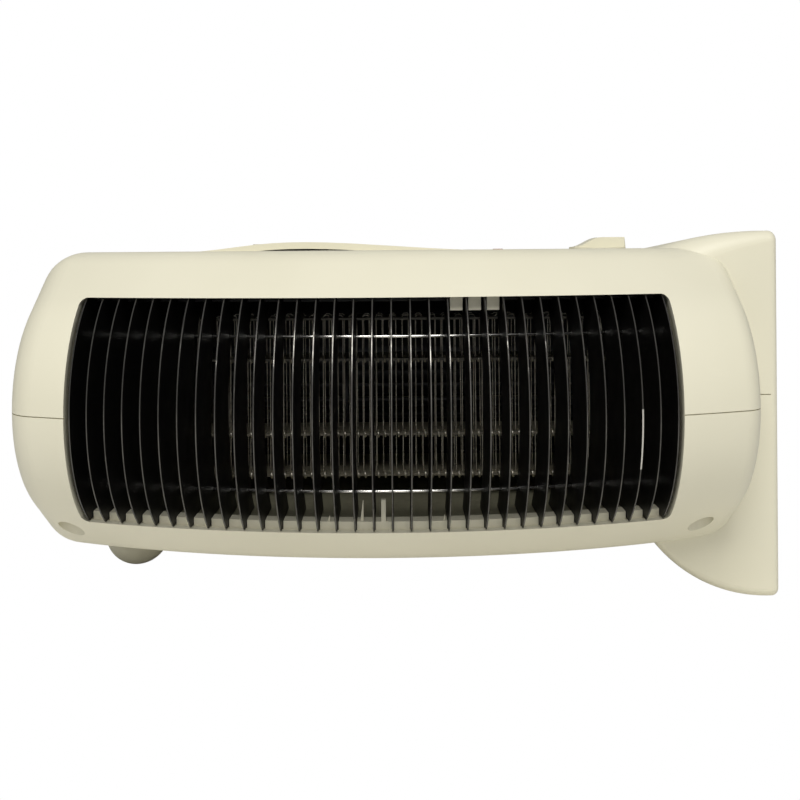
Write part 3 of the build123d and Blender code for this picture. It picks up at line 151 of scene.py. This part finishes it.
def moulded(name, light, dark, rough, grain=0.35, grain_depth=0.03, wear=0.5):
    """Matt moulded plastic: fine spark grain, slow drift of tone, faint rubs and specks of dust."""
    m = Shader(name)
    drift = m.remap(m.noise(70.0, 3.0), 0.35, 0.65, 0.0, 1.0)
    tone = m.mix(drift, rgba(*light), rgba(*dark))
    rubs = m.noise(9.0, 6.0, 0.7, m.stretch(0.25, 1.0, 1.6))
    rubs = m.remap(rubs, 0.6, 0.78, 0.0, wear)
    pale = tuple(min(1.0, c * 1.08 + 0.02) for c in light)
    tone = m.mix(m.math("MULTIPLY", rubs, 0.35), tone, rgba(*pale))
    specks = m.remap(m.spots(7.0), 0.0, 0.03, 0.35 * wear, 0.0)
    tone = m.mix(specks, tone, rgba(*(0.45 * c for c in dark)))
    m.set(Base_Color=tone)
    m.set(Roughness=m.math("ADD", m.remap(m.noise(25.0, 4.0), 0.3, 0.7, rough - 0.05, rough + 0.07),
                           m.math("MULTIPLY", rubs, -0.08)))
    m.set(Specular_IOR_Level=0.42)
    fine = m.bump(m.noise(grain, 2.0), 0.5, grain_depth)
    m.set(Normal=m.bump(m.noise(45.0, 2.0), 0.25, 0.25, below=fine))
    return m.mat


def metal(name, colour, rough, stretch=(1.0, 1.0, 1.0), size=0.3, depth=0.01,
          stain=None, stain_share=0.0, bare=1.0):
    """Bare metal with drawn lines and, where asked, patches of stain."""
    m = Shader(name)
    lines = m.noise(size, 3.0, 0.6, m.stretch(*stretch))
    tone = m.mix(m.remap(lines, 0.3, 0.7, 0.0, 1.0), rgba(*(c * 0.86 for c in colour)), rgba(*colour))
    patches = m.remap(m.noise(8.0, 5.0, 0.65), 0.5, 0.72, 0.0, stain_share)
    if stain:
        tone = m.mix(patches, tone, rgba(*stain))
    m.set(Base_Color=tone, Metallic=bare)
    m.set(Roughness=m.math("ADD", m.remap(lines, 0.25, 0.75, rough - 0.06, rough + 0.08),
                           m.math("MULTIPLY", patches, 0.35)))
    m.set(Normal=m.bump(lines, 0.35, depth))
    return m.mat


def enamelled_strip(name, enamel, edge, first, pitch, half):
    """Thin strips cut from dark sheet, pitch apart along x.

    Their sides are dull and dark, the middle of each edge is worn to the metal, and one has a pale streak
    along part of its edge.
    """
    m = Shader(name)
    geometry = m.new("ShaderNodeNewGeometry")
    split = m.new("ShaderNodeSeparateXYZ")
    m.put(split.inputs[0], geometry.outputs["Normal"])
    edge_face = m.remap(m.math("ABSOLUTE", split.outputs[0]), 0.35, 0.8, 1.0, 0.0)
    place = m.new("ShaderNodeSeparateXYZ")
    m.put(place.inputs[0], m.position)
    off = m.math("PINGPONG", m.math("SUBTRACT", place.outputs[0], first), pitch / 2)
    bare = m.math("MULTIPLY", edge_face, m.remap(off, 0.35 * half, 0.8 * half, 1.0, 0.0))
    worn = m.remap(m.noise(5.0, 5.0, 0.7, m.stretch(1.0, 1.0, 0.5)), 0.42, 0.62, 1.0, 0.5)
    bare = m.math("MULTIPLY", bare, worn)
    height = m.new("ShaderNodeSeparateXYZ")
    m.put(height.inputs[0], geometry.outputs["Position"])
    # A pale streak along part of one fin's front edge
    pale_streak = m.math("MULTIPLY", m.near(place.outputs[0], first + PALE_STREAK_FIN * pitch, 2 * half),
                  m.near(height.outputs[2], PALE_STREAK_HEIGHT, PALE_STREAK_HALF))
    pale_streak = m.math("MULTIPLY", pale_streak, edge_face)
    film = m.noise(12.0, 5.0, 0.6)
    tone = m.mix(m.remap(film, 0.3, 0.7, 0.0, 1.0), rgba(*(0.6 * c for c in enamel)), rgba(*enamel))
    tone = m.mix(pale_streak, m.mix(bare, tone, rgba(*edge)), rgba(*PALE_STREAK_COLOUR))
    m.set(Base_Color=tone, Metallic=bare, Specular_IOR_Level=0.15)
    m.set(Roughness=m.math("SUBTRACT", m.remap(film, 0.3, 0.7, 0.42, 0.55), m.math("MULTIPLY", bare, 0.27)))
    m.set(Normal=m.bump(m.noise(0.3, 2.0, 0.5, m.stretch(1.0, 1.0, 0.06)), 0.3, 0.006))
    return m.mat


def dull(name, colour, rough=0.6, size=0.5, depth=0.03, spread=0.25):
    """Plain dull surface with a fine grain."""
    m = Shader(name)
    cloud = m.noise(14.0, 5.0, 0.6)
    shade = rgba(*(c * (1 - spread) for c in colour))
    m.set(Base_Color=m.mix(m.remap(cloud, 0.3, 0.7, 0.0, 1.0), shade, rgba(*colour)))
    m.set(Roughness=m.remap(cloud, 0.3, 0.7, rough + 0.06, rough - 0.06))
    m.set(Normal=m.bump(m.noise(size, 3.0), 0.5, depth))
    return m.mat


def mica(name):
    """Mica board: layered flakes, brown and grey, a little glossy."""
    m = Shader(name)
    flakes = m.noise(3.0, 5.0, 0.7, m.stretch(1.0, 1.0, 3.0))
    tone = m.mix(m.remap(flakes, 0.35, 0.68, 0.0, 1.0), rgba(*MICA_DARK), rgba(*MICA_LIGHT))
    m.set(Base_Color=tone)
    m.set(Roughness=m.remap(flakes, 0.3, 0.7, 0.32, 0.5))
    m.set(Normal=m.bump(flakes, 0.4, 0.05))
    return m.mat


def glowless_lens(name):
    """Unlit amber lens."""
    m = Shader(name)
    m.set(Base_Color=rgba(0.75, 0.19, 0.03), Roughness=0.12, Transmission_Weight=0.55, IOR=1.49)
    m.set(Normal=m.bump(m.noise(1.2, 1.0), 0.2, 0.05))
    return m.mat


# Colours, linear red, green and blue

CREAM_LIGHT = (0.80, 0.765, 0.605)
CREAM_DARK = (0.765, 0.73, 0.57)
MICA_DARK = (0.1, 0.09, 0.065)
MICA_LIGHT = (0.27, 0.245, 0.18)
FIN_ENAMEL = (0.006, 0.0055, 0.005)
FIN_EDGE = (0.15, 0.145, 0.13)
# The next colour is the pale streak on one fin's front edge
PALE_STREAK_COLOUR = (0.62, 0.6, 0.54)
HOOK_METAL = (0.95, 0.91, 0.8)

# One fin has a pale streak along its front edge: the middle and half length of the streak, in metres

PALE_STREAK_FIN = 30
PALE_STREAK_HEIGHT = 0.0675
PALE_STREAK_HALF = 0.01

# The fins stand at an even pitch along x. These are in millimetres, as the materials' coordinates are

FIN_COUNT = 33
FIN_HALF = 0.25
fins_low, fins_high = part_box("grille_fins")
FIN_FIRST = 1000.0 * fins_low[0] + FIN_HALF
FIN_PITCH = (1000.0 * (fins_high[0] - fins_low[0]) - 2 * FIN_HALF) / (FIN_COUNT - 1)

materials = {
    "cream_plastic": moulded("cream_plastic", CREAM_LIGHT, CREAM_DARK, 0.46),
    "fin_steel": enamelled_strip("fin_steel", FIN_ENAMEL, FIN_EDGE, FIN_FIRST, FIN_PITCH, FIN_HALF),
    "side_sheet": dull("side_sheet", (0.74, 0.7, 0.53), 0.45, spread=0.2),
    "rod_steel": metal("rod_steel", (0.75, 0.74, 0.70), 0.18, (0.05, 1.0, 1.0), 0.2, 0.004),
    "duct_sheet": metal("duct_sheet", (0.36, 0.345, 0.24), 0.5, (0.05, 1.0, 1.0), 0.3, 0.01,
                        stain=(0.24, 0.23, 0.17), stain_share=0.7, bare=0.4),
    "plain_sheet": metal("plain_sheet", (0.34, 0.345, 0.34), 0.36, (1.0, 0.08, 1.0), 0.4, 0.01,
                         stain=(0.16, 0.15, 0.13), stain_share=0.6),
    "dark_sheet": dull("dark_sheet", (0.012, 0.011, 0.01), 0.6),
    "mica": mica("mica"),
    "heating_wire": metal("heating_wire", (0.82, 0.77, 0.66), 0.3, (1.0, 1.0, 1.0), 0.6, 0.01,
                          stain=(0.3, 0.24, 0.17), stain_share=0.5),
    "wheel_plastic": dull("wheel_plastic", (0.02, 0.02, 0.021), 0.42),
    "dark_plastic": dull("dark_plastic", (0.03, 0.03, 0.032), 0.45),
    "block_plastic": dull("block_plastic", (0.66, 0.64, 0.56), 0.5, spread=0.1),
    "shaft_steel": metal("shaft_steel", (0.58, 0.58, 0.57), 0.25, (0.2, 1.0, 1.0), 0.2, 0.006),
    "motor_iron": metal("motor_iron", (0.16, 0.16, 0.17), 0.45, (8.0, 0.3, 0.3), 1.2, 0.05),
    "copper": metal("copper", (0.55, 0.22, 0.09), 0.35, (0.2, 6.0, 0.2), 1.0, 0.06),
    "bearing_bronze": metal("bearing_bronze", (0.45, 0.3, 0.13), 0.4),
    "rubber_black": dull("rubber_black", (0.022, 0.022, 0.022), 0.7),
    "pad_rubber": dull("pad_rubber", (0.14, 0.135, 0.12), 0.8),
    "lens_amber": glowless_lens("lens_amber"),
    "lead_sheath": dull("lead_sheath", (0.6, 0.57, 0.5), 0.4, spread=0.1),
}

for part in frame["record"]["subparts"]:
    node = nodes[part["node"]]
    node.data.materials.clear()
    node.data.materials.append(materials[part["material_slot"]])


# Heating element: fine zigzag wire, threaded through the four boards

WIRE_RUNS = 61
WIRE_RADIUS = 0.00024
WIRE_LEAN = 0.00012
TURN_SHARE = 0.25
INNER_BOARD = 0.0138
OUTER_INSET = 0.0004

# Hooks over the boards' front edges, in metres. They start at a share of the wire's pitch

HOOK_SHARE = 0.3
HOOK_OUT = 0.0003
HOOK_BACK = 0.003
HOOK_HALF = 0.0009
HOOK_FRONT_HALF = 0.0008
HOOK_SLANT = 0.0002
HOOK_THICK = 1.7


def zigzag_points(low, high, foot, share):
    """Corners of one row: upright runs, each turned over the outer boards."""
    y = low[1] + WIRE_RADIUS + share * (high[1] - low[1] - 2 * WIRE_RADIUS)
    top = high[2] - WIRE_RADIUS
    pitch = (high[0] - low[0]) / (WIRE_RUNS - 1)
    turn = TURN_SHARE * pitch
    points = []
    for i in range(WIRE_RUNS):
        x = low[0] + i * pitch
        lean = WIRE_LEAN * math.sin(2.3 * i + 4.0 * share)
        run = [(x + lean, y, foot + turn), (x - lean, y, top - turn)]
        end = foot if i % 2 else top
        points += run[::-1] if i % 2 else run
        if i < WIRE_RUNS - 1:
            points += [(x + turn, y, end), (x + pitch - turn, y, end)]
    return points


def edge_hooks(low, high, front, heights):
    """Short hooks of the same wire over the front edge of the boards, one at each run."""
    pitch = (high[0] - low[0]) / (WIRE_RUNS - 1)
    out = front - HOOK_OUT
    back = front + HOOK_BACK
    for z in heights:
        for i in range(WIRE_RUNS):
            x = low[0] + (i + HOOK_SHARE) * pitch
            yield [(x, back, z + HOOK_HALF), (x, out, z + HOOK_FRONT_HALF),
                   (x + HOOK_SLANT, out, z - HOOK_FRONT_HALF), (x + HOOK_SLANT, back, z - HOOK_HALF)]


def zigzag_wire():
    low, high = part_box("element_wire")
    board_low, board_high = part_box("element_boards")
    foot = board_low[2] + board_high[2] - high[2] + WIRE_RADIUS
    data = bpy.data.curves.new("zigzag_wire", "CURVE")
    data.dimensions = "3D"
    data.bevel_depth = WIRE_RADIUS
    data.bevel_resolution = 2
    middle = (board_low[2] + board_high[2]) / 2
    outer = middle - board_low[2] - OUTER_INSET
    heights = (middle - outer, middle - INNER_BOARD, middle + INNER_BOARD)
    rows = [(zigzag_points(low, high, foot, share), 1.0, 0) for share in (0.0, 1.0)]
    rows += [(hook, HOOK_THICK, 1) for hook in edge_hooks(low, high, board_low[1], heights)]
    for points, thick, finish in rows:
        spline = data.splines.new("POLY")
        spline.points.add(len(points) - 1)
        spline.material_index = finish
        for point, place in zip(spline.points, points):
            point.co = (*place, 1.0)
            point.radius = thick
    data.materials.append(materials["heating_wire"])
    data.materials.append(metal("wire_hooks", HOOK_METAL, 0.35, size=0.6, depth=0.01))
    obj = bpy.data.objects.new("zigzag_wire", data)
    bpy.context.scene.collection.objects.link(obj)
    return obj


wire = zigzag_wire()
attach(wire, "case")
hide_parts("element_wire")


# Painted reflections: small pale wedges of cream plastic stand on the lower comb, in the gaps between fins,
# where light reflected in the fins shows as pale streaks. Columns: place along x, width, height

REFLECTION_WEDGES = ((-0.0172, 0.0011, 0.0068), (-0.0283, 0.0008, 0.0018), (0.0103, 0.0008, 0.0018))
REFLECTION_WEDGE_TIP = 0.25
REFLECTION_WEDGE_Y = -0.0545
REFLECTION_WEDGE_FOOT = 0.0385
REFLECTION_WEDGE_DEPTH = 0.001
REFLECTION_WEDGE_BEVEL = 0.00008


def painted_reflection_wedges(y, foot, depth):
    """Upright wedges, each with one straight side and one that leans in to a narrow tip."""
    points, faces = [], []
    for x, width, height in REFLECTION_WEDGES:
        first = len(points)
        right = x + width / 2
        for y_side in (y - depth / 2, y + depth / 2):
            points += [(x - width / 2, y_side, foot), (right, y_side, foot),
                       (right, y_side, foot + height), (right - REFLECTION_WEDGE_TIP * width, y_side, foot + height)]
        sides = [(0, 1, 2, 3), (7, 6, 5, 4), (0, 4, 5, 1), (1, 5, 6, 2), (2, 6, 7, 3), (3, 7, 4, 0)]
        faces += [tuple(first + i for i in side) for side in sides]
    mesh = bpy.data.meshes.new("painted_reflection_wedges")
    mesh.from_pydata(points, [], faces)
    mesh.materials.append(materials["cream_plastic"])
    obj = bpy.data.objects.new("painted_reflection_wedges", mesh)
    bpy.context.scene.collection.objects.link(obj)
    bevel = obj.modifiers.new("bevel", "BEVEL")
    bevel.width = REFLECTION_WEDGE_BEVEL
    bevel.segments = 2
    return obj


# Pale wedges that are painted reflections, not parts of the comb
reflection_wedges = painted_reflection_wedges(REFLECTION_WEDGE_Y, REFLECTION_WEDGE_FOOT, REFLECTION_WEDGE_DEPTH)
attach(reflection_wedges, "case")


# Studio, in metres

LAMP_COLOUR = (1.0, 0.99, 0.97)
LAMP_AIM = (0.0, 0.0, 0.07)
SKY_COLOUR = (0.95, 0.97, 1.0)
SKY_STRENGTH = 0.25
FLOOR_COLOUR = (0.9, 0.89, 0.865)
FLOOR_HALF = 3.0


def area_light(name, place, size, power):
    data = bpy.data.lights.new(name, "AREA")
    data.shape = "SQUARE"
    data.size = size
    data.energy = power
    data.color = LAMP_COLOUR
    obj = bpy.data.objects.new(name, data)
    bpy.context.scene.collection.objects.link(obj)
    obj.location = place
    obj.rotation_euler = (Vector(LAMP_AIM) - Vector(place)).to_track_quat("-Z", "Y").to_euler()


def split_by_camera(tree, output, lit, shown):
    """The camera sees one shader, and all other rays see the other."""
    out = tree.nodes.new(output)
    mix = tree.nodes.new("ShaderNodeMixShader")
    path = tree.nodes.new("ShaderNodeLightPath")
    tree.links.new(path.outputs["Is Camera Ray"], mix.inputs[0])
    tree.links.new(lit.outputs[0], mix.inputs[1])
    tree.links.new(shown.outputs[0], mix.inputs[2])
    tree.links.new(mix.outputs[0], out.inputs["Surface"])


def sky():
    """Soft light from all round, in front of a white background."""
    world = bpy.data.worlds.new("world")
    bpy.context.scene.world = world
    world.use_nodes = True
    tree = world.node_tree
    tree.nodes.clear()
    soft = tree.nodes.new("ShaderNodeBackground")
    soft.inputs["Color"].default_value = rgba(*SKY_COLOUR)
    soft.inputs["Strength"].default_value = SKY_STRENGTH
    white = tree.nodes.new("ShaderNodeBackground")
    white.inputs["Color"].default_value = WHITE
    white.inputs["Strength"].default_value = 1.0
    split_by_camera(tree, "ShaderNodeOutputWorld", soft, white)


def floor_material():
    """Pale floor that throws light up at the object and shows as plain white."""
    mat = bpy.data.materials.new("floor")
    mat.use_nodes = True
    tree = mat.node_tree
    tree.nodes.clear()
    pale = tree.nodes.new("ShaderNodeBsdfDiffuse")
    pale.inputs["Color"].default_value = rgba(*FLOOR_COLOUR)
    white = tree.nodes.new("ShaderNodeEmission")
    white.inputs["Color"].default_value = WHITE
    split_by_camera(tree, "ShaderNodeOutputMaterial", pale, white)
    return mat


def studio():
    sky()
    area_light("key", (-0.05, -0.78, 1.0), 0.6, 11.1)
    area_light("front", (0.15, -1.2, 0.32), 0.5, 0.7)

    mesh = bpy.data.meshes.new("floor")
    corners = [(-FLOOR_HALF, -FLOOR_HALF, 0.0), (FLOOR_HALF, -FLOOR_HALF, 0.0),
               (FLOOR_HALF, FLOOR_HALF, 0.0), (-FLOOR_HALF, FLOOR_HALF, 0.0)]
    mesh.from_pydata(corners, [], [(0, 1, 2, 3)])
    mesh.materials.append(floor_material())
    floor = bpy.data.objects.new("floor", mesh)
    bpy.context.scene.collection.objects.link(floor)

    bpy.context.scene.view_settings.view_transform = "Standard"


# The photograph's camera: place in metres, roll in degrees, the rest in pixels and sensor millimetres

CAMERA_PLACE = (-0.0048, -0.3917, 0.1292)
CAMERA_ROLL = 0.43
SENSOR = 36.0
IMAGE_PIXELS = 800.0
FOCAL_PIXELS = 1005.0
SHIFT_PIXELS = (3.0, -150.0)


def camera():
    data = bpy.data.cameras.new("camera")
    data.sensor_width = SENSOR
    data.lens = SENSOR * FOCAL_PIXELS / IMAGE_PIXELS
    data.shift_x = SHIFT_PIXELS[0] / IMAGE_PIXELS
    data.shift_y = SHIFT_PIXELS[1] / IMAGE_PIXELS
    data.clip_start = 0.01
    data.clip_end = 20.0
    obj = bpy.data.objects.new("camera", data)
    bpy.context.scene.collection.objects.link(obj)
    obj.location = CAMERA_PLACE
    obj.rotation_euler = Euler((math.radians(90.0), math.radians(CAMERA_ROLL), 0.0), "XYZ")
    bpy.context.scene.camera = obj


studio()
camera()
